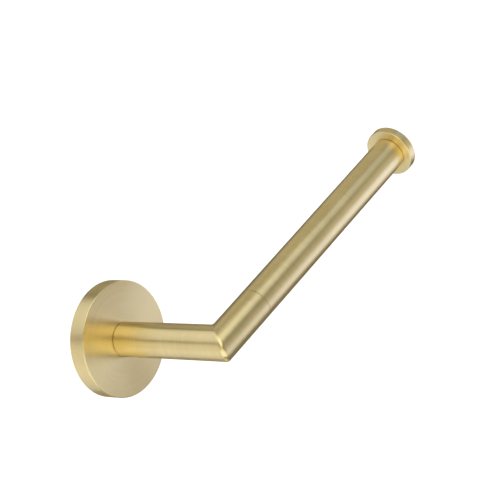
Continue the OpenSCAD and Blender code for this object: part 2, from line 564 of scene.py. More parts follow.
class Groups:
    """Shader node groups that several finishes share, each built once."""

    BROAD = 0.17         # scale of the broad streaks, where the fine ones have 1
    FINE_SHARE = 0.5     # of the streaks, and the rest is broad ones
    DRIFT = 55.0         # scale of the slow drift
    CLEAN_BELOW = 0.4    # noise under which nothing has been handled

    @staticmethod
    def fresh(name: str, inputs: dict[str, str], outputs: dict[str, str]) -> tuple[Graph, object, object]:
        """Make an empty group with named sockets.

        Args:
            name: Name of the group.
            inputs: Socket names and their types.
            outputs: Socket names and their types.

        Returns:
            The group's graph, its input node's outputs and its output node's inputs.
        """
        tree = bpy.data.node_groups.new(name, "ShaderNodeTree")
        for side, sockets in (("INPUT", inputs), ("OUTPUT", outputs)):
            for label, kind in sockets.items():
                tree.interface.new_socket(name=label, in_out=side, socket_type=f"NodeSocket{kind}")
        graph = Graph(tree)
        start = graph.add("NodeGroupInput")
        end = graph.add("NodeGroupOutput")
        return graph, start.outputs, end.inputs

    @classmethod
    def brushing(cls) -> bpy.types.NodeTree:
        """Build the group of fine marks that run round an axis.

        Returns:
            A group that takes places in metres, with the axis along local Z, and
            gives fine streaks and a slow drift, both from 0 to 1.
        """
        name = "brushing_round_an_axis"
        if name in bpy.data.node_groups:
            return bpy.data.node_groups[name]
        graph, given, wanted = cls.fresh(
            name, {"Place": "Vector", "Pitch": "Float", "Arc": "Float"}, {"Streak": "Float", "Drift": "Float"}
        )
        flat = graph.vector("MULTIPLY", given["Place"], (1.0, 1.0, 0.0))
        radius = graph.vector("LENGTH", flat)
        round_it = graph.add("ShaderNodeVectorMath", operation="NORMALIZE")
        graph.feed(round_it.inputs[0], flat)
        height = graph.add("ShaderNodeSeparateXYZ")
        graph.feed(height.inputs[0], given["Place"])
        across = graph.math("DIVIDE", graph.math("ADD", height.outputs["Z"], radius), given["Pitch"])
        scaled = graph.add("ShaderNodeVectorMath", operation="SCALE")
        graph.feed(scaled.inputs[0], round_it.outputs[0])
        graph.feed(scaled.inputs["Scale"], given["Arc"])
        lane = graph.add("ShaderNodeCombineXYZ")
        graph.feed(lane.inputs["Z"], across)
        place = graph.vector("ADD", scaled.outputs[0], lane.outputs[0])
        fine = graph.stretch(graph.noise(place, 1.0, 3.0, 0.6))
        broad = graph.stretch(graph.noise(place, cls.BROAD, 2.0))
        fine_part = graph.math("MULTIPLY", fine, cls.FINE_SHARE)
        both = graph.math("ADD", fine_part, graph.math("MULTIPLY", broad, 1 - cls.FINE_SHARE))
        graph.feed(wanted["Streak"], both)
        graph.feed(wanted["Drift"], graph.stretch(graph.noise(given["Place"], cls.DRIFT, 2.0)))
        return graph.tree

    @classmethod
    def handling(cls) -> bpy.types.NodeTree:
        """Build the group of faint smudges and dust that handling leaves.

        Returns:
            A group that takes places in metres and gives a mask from 0 to 1.
        """
        name = "handling_marks"
        if name in bpy.data.node_groups:
            return bpy.data.node_groups[name]
        graph, given, wanted = cls.fresh(name, {"Place": "Vector", "Scale": "Float"}, {"Mask": "Float"})
        node = graph.add("ShaderNodeTexNoise")
        graph.feed(node.inputs["Vector"], given["Place"])
        graph.feed(node.inputs["Scale"], given["Scale"])
        node.inputs["Detail"].default_value = 5.0
        ramp = graph.add("ShaderNodeMapRange", interpolation_type="SMOOTHSTEP")
        graph.feed(ramp.inputs["Value"], node.outputs["Fac"])
        ramp.inputs["From Min"].default_value = cls.CLEAN_BELOW
        ramp.inputs["From Max"].default_value = NOISE_HIGH
        graph.feed(wanted["Mask"], ramp.outputs["Result"])
        return graph.tree


@dataclass(frozen=True)
class BrushedMetal:
    """A metal with fine marks round an axis.

    Attributes:
        name: Name of the material.
        axis: Line that the marks run round.
        light: Colour of the crests.
        dark: Colour of the grooves.
        rough: Roughness, from the smoothest to the roughest streak.
        pitch: Width of a streak, in metres.
        arc: How quickly a streak changes along its length.
        depth: Height of the marks as the light sees them, in metres.
        stretch: Anisotropy across the marks.
        streak_share: How much of the tone is streaks, and the rest is slow drift.
        smudge: Scale of the handling marks.
        rub: Roughness that handling adds.
        relief: Strength of the marks as a bump.
    """

    name: str
    axis: Axis
    light: Colour
    dark: Colour
    rough: tuple[float, float]
    pitch: float = 0.12 * MM
    arc: float = 1.4
    depth: float = 0.008 * MM
    stretch: float = 0.35
    streak_share: float = 0.65
    smudge: float = 90.0
    rub: float = 0.025
    relief: float = 0.6

    def make(self) -> bpy.types.Material:
        """Build the material.

        Returns:
            The material, the same one each time for one name.
        """
        if self.name in bpy.data.materials:
            return bpy.data.materials[self.name]
        material, graph, metal, coords = open_material(self.name)
        placed = graph.add("ShaderNodeMapping", vector_type="TEXTURE")
        graph.feed(placed.inputs["Vector"], coords.outputs["Object"])
        placed.inputs["Location"].default_value = self.axis.start
        placed.inputs["Rotation"].default_value = self.axis.turn().to_euler()
        marks = graph.add("ShaderNodeGroup", node_tree=Groups.brushing())
        graph.feed(marks.inputs["Place"], placed.outputs["Vector"])
        marks.inputs["Pitch"].default_value = self.pitch
        marks.inputs["Arc"].default_value = self.arc
        smudge = graph.add("ShaderNodeGroup", node_tree=Groups.handling())
        graph.feed(smudge.inputs["Place"], coords.outputs["Object"])
        smudge.inputs["Scale"].default_value = self.smudge
        streak, drift = marks.outputs["Streak"], marks.outputs["Drift"]
        lively = graph.math("MULTIPLY", streak, self.streak_share)
        tone = graph.math("ADD", lively, graph.math("MULTIPLY", drift, 1 - self.streak_share))
        graph.feed(metal.inputs["Base Color"], graph.blend(tone, self.dark, self.light))
        metal.inputs["Metallic"].default_value = 1.0
        base = graph.spread(streak, *self.rough)
        rub = graph.math("MULTIPLY", smudge.outputs["Mask"], self.rub)
        graph.feed(metal.inputs["Roughness"], graph.math("ADD", base, rub))
        metal.inputs["Anisotropic"].default_value = self.stretch
        metal.inputs["Anisotropic Rotation"].default_value = QUARTER_TURN
        away = graph.vector("SUBTRACT", coords.outputs["Object"], tuple(self.axis.start))
        graph.feed(metal.inputs["Tangent"], graph.vector("CROSS_PRODUCT", tuple(self.axis.along), away))
        graph.feed(metal.inputs["Normal"], graph.bump(streak, self.relief, self.depth))
        return material


@dataclass(frozen=True)
class Plating:
    """Zinc plating: bluish, cloudy, lightly scratched.

    Attributes:
        name: Name of the material.
        bright: Colour of the bright crystals.
        dull: Colour of the dull ones.
        cell: Size of a crystal, in metres.
        scratch: Scale of the scratches along X, Y and Z.
        metallic: How far the shader is a metal.
        rough: Roughness, from the smoothest to the roughest crystal.
        relief: Strength of the scratches as a bump.
        depth: Depth of the scratches as the light sees them, in metres.
    """

    name: str
    bright: Colour
    dull: Colour
    cell: float
    scratch: tuple[float, float, float] = (2500.0, 120.0, 180.0)
    metallic: float = 0.9
    rough: tuple[float, float] = (0.28, 0.46)
    relief: float = 0.5
    depth: float = 0.01 * MM

    def make(self) -> bpy.types.Material:
        """Build the material.

        Returns:
            The material, the same one each time for one name.
        """
        if self.name in bpy.data.materials:
            return bpy.data.materials[self.name]
        material, graph, metal, coords = open_material(self.name)
        cells = graph.add("ShaderNodeTexVoronoi")
        graph.feed(cells.inputs["Vector"], coords.outputs["Object"])
        cells.inputs["Scale"].default_value = 1 / self.cell
        crystal = graph.add("ShaderNodeSeparateColor")
        graph.feed(crystal.inputs[0], cells.outputs["Color"])
        scratch = graph.vector("MULTIPLY", coords.outputs["Object"], self.scratch)
        lines = graph.noise(scratch, 1.0, 3.0)
        graph.feed(metal.inputs["Base Color"], graph.blend(crystal.outputs[0], self.dull, self.bright))
        metal.inputs["Metallic"].default_value = self.metallic
        graph.feed(metal.inputs["Roughness"], graph.spread(crystal.outputs[1], *self.rough))
        graph.feed(metal.inputs["Normal"], graph.bump(lines, self.relief, self.depth))
        return material


@dataclass(frozen=True)
class Moulding:
    """A matt moulded plastic with a fine grain.

    Attributes:
        name: Name of the material.
        colour: Its main colour.
        worn: Its colour where it has rubbed.
        smudge: Scale of the rubbed places.
        grain: Scale of the moulded grain.
        rough: Roughness, from the smoothest to the roughest grain.
        relief: Strength of the grain as a bump.
        depth: Depth of the grain as the light sees it, in metres.
    """

    name: str
    colour: Colour
    worn: Colour
    smudge: float = 400.0
    grain: float = 6000.0
    rough: tuple[float, float] = (0.5, 0.7)
    relief: float = 0.4
    depth: float = 0.01 * MM

    def make(self) -> bpy.types.Material:
        """Build the material.

        Returns:
            The material, the same one each time for one name.
        """
        if self.name in bpy.data.materials:
            return bpy.data.materials[self.name]
        material, graph, plastic, coords = open_material(self.name)
        rub = graph.add("ShaderNodeGroup", node_tree=Groups.handling())
        graph.feed(rub.inputs["Place"], coords.outputs["Object"])
        rub.inputs["Scale"].default_value = self.smudge
        grain = graph.noise(coords.outputs["Object"], self.grain, 2.0)
        graph.feed(plastic.inputs["Base Color"], graph.blend(rub.outputs["Mask"], self.colour, self.worn))
        graph.feed(plastic.inputs["Roughness"], graph.spread(grain, *self.rough))
        graph.feed(plastic.inputs["Normal"], graph.bump(grain, self.relief, self.depth))
        return material


BRASS_LIGHT = (0.88, 0.715, 0.36, 1.0)
BRASS_DARK = (0.74, 0.59, 0.285, 1.0)


def visible_brass(
    name: str, axis: Axis, rough: tuple[float, float] = (0.26, 0.36)
) -> bpy.types.Material:
    """Return the brushed brass, with its marks round an axis.

    Args:
        name: Name of the material.
        axis: Line that the marks run round.
        rough: Roughness, from the smoothest to the roughest streak.

    Returns:
        The material.
    """
    return BrushedMetal(name, axis, BRASS_LIGHT, BRASS_DARK, rough=rough, stretch=0.7).make()


def turned_brass(name: str, axis: Axis) -> bpy.types.Material:
    """Return bare turned brass, with the lathe's marks round an axis."""
    return BrushedMetal(
        name, axis, (0.68, 0.47, 0.17, 1.0), (0.52, 0.34, 0.11, 1.0), rough=(0.2, 0.34),
        pitch=0.25 * MM, arc=0.3, depth=0.01 * MM, stretch=0.5,
    ).make()


def machined_steel(name: str, axis: Axis) -> bpy.types.Material:
    """Return machined stainless steel, with its marks round an axis."""
    return BrushedMetal(
        name, axis, (0.62, 0.61, 0.59, 1.0), (0.44, 0.43, 0.42, 1.0), rough=(0.22, 0.36),
        pitch=0.15 * MM, arc=0.8, depth=0.006 * MM, stretch=0.4,
    ).make()


def zinc_plate() -> bpy.types.Material:
    """Return the zinc plating."""
    return Plating("zinc_plating", (0.60, 0.62, 0.64, 1.0), (0.53, 0.56, 0.59, 1.0), 0.5 * MM).make()


def brown_acetal() -> bpy.types.Material:
    """Return the bushes' dark brown plastic."""
    return Moulding("brown_acetal", (0.26, 0.13, 0.04, 1.0), (0.32, 0.17, 0.06, 1.0)).make()


# ---------------------------------------------------------------- sub-assemblies


@dataclass
class SubAssembly:
    """Pieces that belong together, with their common bookkeeping.

    Attributes:
        layout: Places and sizes of all parts.
        made: Names of the pieces built so far.
    """

    layout: Layout
    made: list[str] = field(default_factory=list)

    def dress(
        self,
        piece: bpy.types.Object,
        materials: Sequence[bpy.types.Material],
        slot: Slot,
        body: str,
        nodes: Sequence[str],
    ) -> None:
        """Finish a piece: shading, material, body and the nodes it stands for.

        Args:
            piece: The modelled piece.
            materials: Its materials, in slot order.
            slot: Not used.
            body: CAD body that it rides on.
            nodes: CAD nodes that it replaces.
        """
        smooth(piece)
        for material in materials:
            piece.data.materials.append(material)
        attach(piece, body)
        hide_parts(*nodes)
        self.made.append(piece.name)


@dataclass
class WallFixing(SubAssembly):
    """Cover plate, hidden wall plate and the set screw that joins them."""

    edge: float = 0.45 * MM            # rounding of the cover plate's front edge
    back_edge: float = 0.2 * MM
    seat_edge: float = 0.08 * MM
    rim: float = 4.3 * MM
    front: float = 3.0 * MM
    bush_hole_r: float = 6.07 * MM
    seat_depth: float = 0.66 * MM      # counterbore for the bush's flange
    fit: float = 0.02 * MM
    sheet: float = 2.0 * MM            # wall plate's base
    flange: float = 1.8 * MM
    foot_edge: float = 0.3 * MM
    lip_edge: float = 0.35 * MM
    fold: float = 0.5 * MM             # inside round where the flange is turned up
    opening_r: float = 12.8 * MM
    screw_ring: float = 17.0 * MM
    screw_hole_r: float = 2.25 * MM
    groove: float = 0.85 * MM
    groove_half: float = 1.0 * MM
    groove_slope: float = 0.9 * MM
    grub_r: float = 2.0 * MM
    grub_point_r: float = 0.9 * MM
    grub_point: float = 1.05 * MM
    grub_socket: float = 1.8 * MM
    pin_depth: float = 2.2 * MM

    def build(self) -> None:
        """Build and dress all pieces."""
        self.cover_plate()
        self.wall_plate()
        self.set_screw()

    def cover_plate(self) -> None:
        """Turn the cover plate, then drill it for the stop pin and the set screw."""
        at, post = self.layout, self.layout.post
        recess = at.plate_t - self.front
        recess_r = at.plate_r - self.rim
        seat_r = at.flange_r + self.fit
        plate = turn_part("cover_plate", post, [
            Corner(0, at.plate_r, self.back_edge),
            Corner(at.plate_t, at.plate_r, self.edge),
            Corner(at.plate_t, seat_r, self.seat_edge),
            Corner(at.plate_t - self.seat_depth, seat_r),
            Corner(at.plate_t - self.seat_depth, self.bush_hole_r),
            Corner(recess, self.bush_hole_r, PLAIN),
            Corner(recess, recess_r, LEAD),
            Corner(0, recess_r, self.back_edge),
        ], hollow=True, sides=SIDES)
        drill(plate, at.dowel, (recess - self.front, recess + self.pin_depth), at.pin_r)
        drill(plate, at.drop, (recess_r - MM, at.plate_r + MM), self.grub_r + self.fit)
        brass = visible_brass("brushed_brass_plate", post, rough=(0.29, 0.39))
        self.dress(plate, [brass], Slot.BRUSHED_BRASS, "base", ["rosette"])

    def wall_plate(self) -> None:
        """Turn the flanged wall plate and drill its two screw holes."""
        at, post = self.layout, self.layout.post
        middle = at.grub_depth
        top = self.groove_half + self.groove_slope
        floor_r = at.base_r - self.groove
        inner_r = at.base_r - self.flange
        plate = turn_part("wall_plate_pressing", post, [
            Corner(0, self.opening_r, LIGHT),
            Corner(0, at.base_r, self.foot_edge),
            Corner(middle - top, at.base_r, BURR),
            Corner(middle - self.groove_half, floor_r, LIGHT),
            Corner(middle + self.groove_half, floor_r, LIGHT),
            Corner(middle + top, at.base_r, BURR),
            Corner(at.base_h, at.base_r, self.lip_edge),
            Corner(at.base_h, inner_r, SOFT),
            Corner(self.sheet, inner_r, self.fold),
            Corner(self.sheet, self.opening_r, SOFT),
        ], hollow=True, sides=SIDES)
        for side in (-1, 1):
            hole = Axis(Vector((side * self.screw_ring, 0, 0)), post.along)
            drill(plate, hole, (-MM, self.sheet + MM), self.screw_hole_r)
        self.dress(plate, [zinc_plate()], Slot.PLATED_STEEL, "base", ["wall_plate"])

    def set_screw(self) -> None:
        """Turn the set screw, thread it and press its hexagon socket."""
        at, drop = self.layout, self.layout.drop
        tip, end = at.grub
        body = tip + self.grub_point
        pitch, depth, chamfer = 0.7 * MM, 0.38 * MM, 0.25 * MM
        thread = Thread(pitch, depth, self.grub_r, (body, end - chamfer))
        screw = turn_part("cup_point_set_screw", drop, [
            Corner(tip, self.grub_point_r, BURR),
            *thread.corners(),
            Corner(end, self.grub_r - chamfer),
        ])
        thread.cut(screw, drop)
        socket = (end - self.grub_socket, end + MM)
        drill(screw, drop, socket, self.grub_r / 2 / HEX_CORNER, sides=6)
        steel = machined_steel("machined_steel_drop", drop)
        self.dress(screw, [steel], Slot.STAINLESS, "set_screw", ["set_screw"])


@dataclass
class Pivot(SubAssembly):
    """What turns, brakes and stops the post behind the cover plate."""

    journal_r: float = 5.0 * MM
    running: float = 0.05 * MM
    bush_r: float = 6.05 * MM
    flange_t: float = 0.8 * MM
    flange_proud: float = 0.14 * MM
    front: float = 3.0 * MM
    plug_r: float = 6.73 * MM
    key_r: float = 4.0 * MM
    key_half: float = 3.0 * MM
    key_fit: float = 0.02 * MM
    land_overlap: float = 1.5 * MM
    bore_r: float = 2.52 * MM
    bore_end: float = 14.3 * MM
    wave_inner_r: float = 5.3 * MM
    wave_outer_r: float = 8.0 * MM
    leaf: float = 0.3 * MM
    waves: int = 3
    wave_sides: int = 180
    leaf_edge: float = 0.06 * MM
    slot_r: float = 1.1 * MM
    swing: float = math.radians(90)
    swing_steps: int = 24
    shank_r: float = 2.5 * MM
    head_r: float = 4.75 * MM
    head_h: float = 2.6 * MM
    crown_share: float = 0.3     # flat crown, of the head's radius
    socket_share: float = 0.6    # socket, of the head's height and of the shank's radius

    def build(self) -> None:
        """Build and dress all pieces."""
        self.bush()
        self.stop_pin()
        self.wave_washer()
        self.journal()
        self.stop_washer()
        self.screw()

    def bush(self) -> None:
        """Turn the flanged bush in the cover plate."""
        at, post = self.layout, self.layout.post
        face = at.plate_t + self.flange_proud
        inner = at.plate_t - self.front
        bush = turn_part("pivot_bush_moulding", post, [
            Corner(face, self.journal_r + self.running, LIGHT),
            Corner(face, at.flange_r, BURR),
            Corner(face - self.flange_t, at.flange_r, BURR),
            Corner(face - self.flange_t, self.bush_r),
            Corner(inner, self.bush_r, PLAIN),
            Corner(inner, self.journal_r + self.running, BURR),
        ], hollow=True)
        self.dress(bush, [brown_acetal()], Slot.ACETAL, "base", ["pivot_bush"])

    def stop_pin(self) -> None:
        """Turn the dowel, with a round at each end."""
        at = self.layout
        pin = turn_part("stop_dowel", at.dowel, [
            Corner(at.pin[0], at.pin_r, SOFT),
            Corner(at.pin[1], at.pin_r, PLAIN),
        ], sides=SMALL_SIDES)
        steel = machined_steel("machined_steel_dowel", at.dowel)
        self.dress(pin, [steel], Slot.STAINLESS, "base", ["stop_pin"])

    def wave_washer(self) -> None:
        """Turn a thin ring and bend it into three waves."""
        at, post = self.layout, self.layout.post
        middle = (at.wave[0] + at.wave[1]) / 2
        lift = (at.wave[1] - at.wave[0] - self.leaf) / 2
        half = self.leaf / 2
        ring = turn_part("wave_spring", post, [
            Corner(middle - half, self.wave_inner_r, self.leaf_edge),
            Corner(middle - half, self.wave_outer_r, self.leaf_edge),
            Corner(middle + half, self.wave_outer_r, self.leaf_edge),
            Corner(middle + half, self.wave_inner_r, self.leaf_edge),
        ], hollow=True, sides=self.wave_sides)
        for vertex in ring.data.vertices:
            angle = math.atan2(vertex.co.z, vertex.co.x)
            vertex.co += post.along * lift * math.cos(self.waves * angle)
        steel = machined_steel("machined_steel_post", post)
        self.dress(ring, [steel], Slot.STAINLESS, "base", ["wave_washer"])

    def journal(self) -> None:
        """Turn the plug and journal, mill its key and drill it for the screw."""
        at, post = self.layout, self.layout.post
        back, front = at.washer[0] + self.running, at.washer[1]
        body = turn_part("pivot_journal_turning", post, [
            Corner(back, self.key_r, PLAIN),
            Corner(front + self.running, self.key_r),
            Corner(front + self.running, self.journal_r, LIGHT),
            Corner(at.post_start, self.journal_r),
            Corner(at.post_start, self.plug_r, PLAIN),
            Corner(at.post_plug, self.plug_r, LEAD),
        ])
        for side in (-1, 1):
            block = Vector((2 * self.key_r, at.washer[1] - at.washer[0] + MM, 4 * self.key_r))
            middle = Vector((side * (self.key_half + self.key_r), -(front - block.y / 2), 0))
            bpy.ops.object.select_all(action="DESELECT")
            bpy.ops.mesh.primitive_cube_add(size=1, location=middle, scale=block)
            cut_away(body, name_piece("cutter"))
        drill(body, post, (at.washer[0] - MM, self.bore_end), self.bore_r)
        brass = turned_brass("turned_brass_post", post)
        self.dress(body, [brass], Slot.TURNED_BRASS, "arm", ["pivot_journal"])

    def stop_washer(self) -> None:
        """Turn the keyed washer and cut the slot that meets the pin."""
        at, post = self.layout, self.layout.post
        back, front = at.washer
        hole_r = self.key_r + self.key_fit
        washer = turn_part("keyed_stop_washer", post, [
            Corner(back, hole_r),
            Corner(back, at.washer_r, LIGHT),
            Corner(front, at.washer_r, LIGHT),
            Corner(front, hole_r),
        ], hollow=True, sides=SIDES)
        self.fill_key(washer, back, front, hole_r)
        self.cut_slot(washer, back, front)
        self.dress(washer, [zinc_plate()], Slot.PLATED_STEEL, "arm", ["stop_washer"])

    def fill_key(self, washer: bpy.types.Object, back: float, front: float, hole_r: float) -> None:
        """Weld in the two flats of the washer's hole.

        Args:
            washer: The washer, with a round hole.
            back: Station of its back face.
            front: Station of its front face.
            hole_r: Radius of the round hole.
        """
        flat = self.key_half + self.key_fit
        depth = hole_r + self.land_overlap - flat
        for side in (-1, 1):
            middle = Vector((side * (flat + depth / 2), -(back + front) / 2, 0))
            bpy.ops.object.select_all(action="DESELECT")
            bpy.ops.mesh.primitive_cube_add(
                size=1, location=middle, scale=(depth, front - back, 2 * hole_r)
            )
            land = name_piece("land")
            choose(washer)
            weld = washer.modifiers.new("weld", "BOOLEAN")
            weld.operation = "UNION"
            weld.solver = "EXACT"
            weld.object = land
            bpy.ops.object.modifier_apply(modifier=weld.name)
            bpy.data.objects.remove(land)

    def cut_slot(self, washer: bpy.types.Object, back: float, front: float) -> None:
        """Cut the curved slot by sweeping its cross-section round the pivot.

        Args:
            washer: The washer.
            back: Station of its back face.
            front: Station of its front face.
        """
        at, post = self.layout, self.layout.post
        ends = [Vector((at.pin_ring, 0, 0)), Vector((0, 0, at.pin_ring))]
        for end in ends:
            drill(washer, Axis(end, post.along), (back - MM, front + MM), self.slot_r, sides=SMALL_SIDES)
        bpy.ops.object.select_all(action="DESELECT")
        bpy.ops.mesh.primitive_plane_add(
            size=1, location=(at.pin_ring, -(back + front) / 2, 0), rotation=(0, 0, 0)
        )
        sweep = name_piece("cutter")
        bpy.ops.object.mode_set(mode="EDIT")
        bpy.ops.mesh.select_all(action="SELECT")
        bpy.ops.transform.resize(
            value=(2 * self.slot_r, front - back + 2 * MM, 1),
            center_override=(at.pin_ring, -(back + front) / 2, 0),
        )
        bpy.ops.mesh.spin(steps=self.swing_steps, angle=self.swing, center=(0, 0, 0), axis=(0, 1, 0))
        bpy.ops.mesh.select_all(action="SELECT")
        bpy.ops.mesh.remove_doubles(threshold=TINY)
        bpy.ops.mesh.normals_make_consistent(inside=False)
        bpy.ops.object.mode_set(mode="OBJECT")
        cut_away(washer, sweep)

    def screw(self) -> None:
        """Turn the round-head screw, thread it and press its hexagon socket."""
        at, post = self.layout, self.layout.post
        crown, tip = at.screw
        under = at.washer[0]
        pitch, depth = 0.8 * MM, 0.4 * MM
        thread = Thread(pitch, depth, self.shank_r, (under + pitch, tip - depth))
        skirt, brim = 0.3, 0.45    # shares of the head below the dome, and inside it
        dome = [
            Corner(
                under - self.head_h * (skirt + (1 - skirt) * math.sin(rise)),
                self.head_r * (brim + (1 - brim) * math.cos(rise)),
            )
            for rise in (math.radians(degrees) for degrees in range(75, -1, -15))
        ]
        screw = turn_part("pivot_button_screw", post, [
            Corner(crown, self.crown_share * self.head_r),
            *dome,
            Corner(under, self.head_r, BURR),
            Corner(under, self.shank_r),
            *thread.corners(),
            Corner(tip, self.shank_r - depth),
        ])
        thread.cut(screw, post)
        socket = (crown - MM, crown + self.socket_share * self.head_h)
        drill(screw, post, socket, self.socket_share * self.shank_r / HEX_CORNER, sides=6)
        steel = machined_steel("machined_steel_post", post)
        self.dress(screw, [steel], Slot.STAINLESS, "arm", ["pivot_screw"])


@dataclass
class Arm(SubAssembly):
    """Post and elbow in one brazed piece, and what holds the end cap on it."""

    wall: float = 1.5 * MM
    mitre_round: float = 2.0 * MM
    mitre_steps: int = 8
    end_edge: float = 0.07 * MM
    plug_r: float = 6.73 * MM
    journal_r: float = 5.0 * MM
    bore_r: float = 3.02 * MM
    bore_depth: float = 10.0 * MM
    rod_r: float = 3.0 * MM
    rod_sides: int = 64
    cap_edge: float = 0.4 * MM
    cap_bore: float = 2.0 * MM

    def build(self) -> None:
        """Build and dress all pieces."""
        self.mitred_tube()
        self.sleeve_journal()
        self.tie_rod()
        self.end_cap()

    def tube_skin(self, name: str, radius: float) -> bpy.types.Object:
        """Model one skin of the mitred tube, open at both ends.

        The post's part is cut at 45 degrees, and the cut's edge is drawn out
        along the arm and squared off at the seam.

        Args:
            name: Name of the new object.
            radius: Radius of the skin.

        Returns:
            The skin, as one object.
        """
        at = self.layout
        corner = Vector((0, -at.reach, 0))
        length = at.reach + 2 * radius - at.post_start
        bpy.ops.object.select_all(action="DESELECT")
        bpy.ops.mesh.primitive_cylinder_add(
            vertices=SIDES, radius=radius, depth=length, end_fill_type="NOTHING",
            location=(0, -(at.post_start + length / 2), 0), rotation=at.post.turn().to_euler(),
        )
        skin = name_piece(name)
        bpy.ops.object.mode_set(mode="EDIT")
        bpy.ops.mesh.select_all(action="SELECT")
        bpy.ops.mesh.bisect(plane_co=corner, plane_no=(1, -1, 0), clear_outer=True, threshold=TINY / 20)
        bpy.ops.mesh.select_all(action="DESELECT")

        def on_mitre(point: Vector) -> bool:
            return abs(point.x - point.y - at.reach) < TINY

        pick_edges(skin, on_mitre)
        bpy.ops.mesh.extrude_region_move(TRANSFORM_OT_translate={"value": (at.seam, 0, 0)})
        bpy.ops.transform.resize(value=(0, 1, 1), center_override=(at.seam, -at.reach, 0))
        bpy.ops.object.mode_set(mode="OBJECT")
        return skin

    def mitred_tube(self) -> None:
        """Join the outer and inner skins, and soften the mitre and the ends."""
        at = self.layout
        outer = self.tube_skin("mitred_tube", at.tube_r)
        inner = self.tube_skin("bore", at.tube_r - self.wall)
        self.soften_mitre(outer)
        bpy.ops.object.select_all(action="DESELECT")
        inner.select_set(True)
        outer.select_set(True)
        bpy.context.view_layer.objects.active = outer
        bpy.ops.object.join()
        bpy.ops.object.mode_set(mode="EDIT")
        for axis, station in ((at.post, at.post_start), (at.arm, at.seam)):
            pick_edges(outer, lambda point: abs(axis.station(point) - station) < TINY)
            bpy.ops.mesh.bridge_edge_loops()
        bpy.ops.mesh.select_all(action="SELECT")
        bpy.ops.mesh.normals_make_consistent(inside=False)
        for axis, station in ((at.post, at.post_start), (at.arm, at.seam)):
            round_loop(outer, axis, Corner(station, at.tube_r, self.end_edge))
            round_loop(outer, axis, Corner(station, at.tube_r - self.wall, self.end_edge))
        bpy.ops.object.mode_set(mode="OBJECT")
        post_brass = visible_brass("brushed_brass_post", at.post)
        arm_brass = visible_brass("brushed_brass_arm", at.arm)
        self.dress(outer, [post_brass, arm_brass], Slot.BRUSHED_BRASS, "arm", ["post_tube", "elbow_tube"])
        for face in outer.data.polygons:
            face.material_index = int(face.center.x - face.center.y > at.reach)

    def soften_mitre(self, skin: bpy.types.Object) -> None:
        """Round the mitre's ridge and its valley, as polishing does.

        The rounding is what a ball would leave: widest where the two tubes meet
        at a right angle, and gone where one runs straight on into the other.

        Args:
            skin: The tube's outer skin.
        """
        at, mesh = self.layout, skin.data
        weights = mesh.attributes.new("bevel_weight_edge", "FLOAT", "EDGE")
        for edge in mesh.edges:
            first, second = (mesh.vertices[index].co for index in edge.vertices)
            if all(abs(point.x - point.y - at.reach) < TINY for point in (first, second)):
                height = min(1.0, abs(first.z + second.z) / (2 * at.tube_r))
                weights.data[edge.index].value = math.tan(math.acos(height ** 2) / 2)
        choose(skin)
        rounding = skin.modifiers.new("rounding", "BEVEL")
        rounding.limit_method = "WEIGHT"
        rounding.width = self.mitre_round
        rounding.segments = self.mitre_steps
        rounding.use_clamp_overlap = False
        bpy.ops.object.modifier_apply(modifier=rounding.name)
        skin.data.attributes.remove(skin.data.attributes["bevel_weight_edge"])

    def sleeve_journal(self) -> None:
        """Turn the plug and journal in the elbow's open end."""
        at, arm = self.layout, self.layout.arm
        journal = turn_part("sleeve_journal_turning", arm, [
            Corner(at.stub_plug, self.plug_r, LEAD),
            Corner(at.seam, self.plug_r, PLAIN),
            Corner(at.seam, self.journal_r),
            Corner(at.stub_end, self.journal_r, LEAD),
        ])
        drill(journal, arm, (at.seam - self.bore_depth, at.stub_end + MM), self.bore_r)
        brass = turned_brass("turned_brass_arm", arm)
        self.dress(journal, [brass], Slot.TURNED_BRASS, "arm", ["sleeve_journal"])

    def tie_rod(self) -> None:
        """Turn the tie rod and thread both of its ends."""
        at, arm = self.layout, self.layout.arm
        start, end = at.rod
        pitch, depth, chamfer, run = 1.0 * MM, 0.55 * MM, 0.5 * MM, 12 * MM
        near = Thread(pitch, depth, self.rod_r, (start + chamfer, start + run))
        far = Thread(pitch, depth, self.rod_r, (end - run, end - chamfer))
        rod = turn_part("tie_rod_turning", arm, [
            Corner(start, self.rod_r - chamfer),
            *near.corners(),
            *far.corners(),
            Corner(end, self.rod_r - chamfer),
        ], sides=self.rod_sides)
        near.cut(rod, arm)
        far.cut(rod, arm)
        steel = machined_steel("machined_steel_arm", arm)
        self.dress(rod, [steel], Slot.STAINLESS, "arm", ["tie_rod"])

    def end_cap(self) -> None:
        """Turn the end cap with its journal, and drill it for the tie rod."""
        at, arm = self.layout, self.layout.arm
        cap = turn_part("end_cap_turning", arm, [
            Corner(at.spigot_start, self.journal_r, LEAD),
            Corner(at.cap_start, self.journal_r),
            Corner(at.cap_start, at.cap_r, self.cap_edge),
            Corner(at.cap_end, at.cap_r, self.cap_edge),
        ], sides=SIDES)
        drill(cap, arm, (at.spigot_start - MM, at.cap_start + self.cap_bore), self.bore_r)
        brass = visible_brass("brushed_brass_arm", arm)
        self.dress(cap, [brass], Slot.BRUSHED_BRASS, "arm", ["end_cap"])


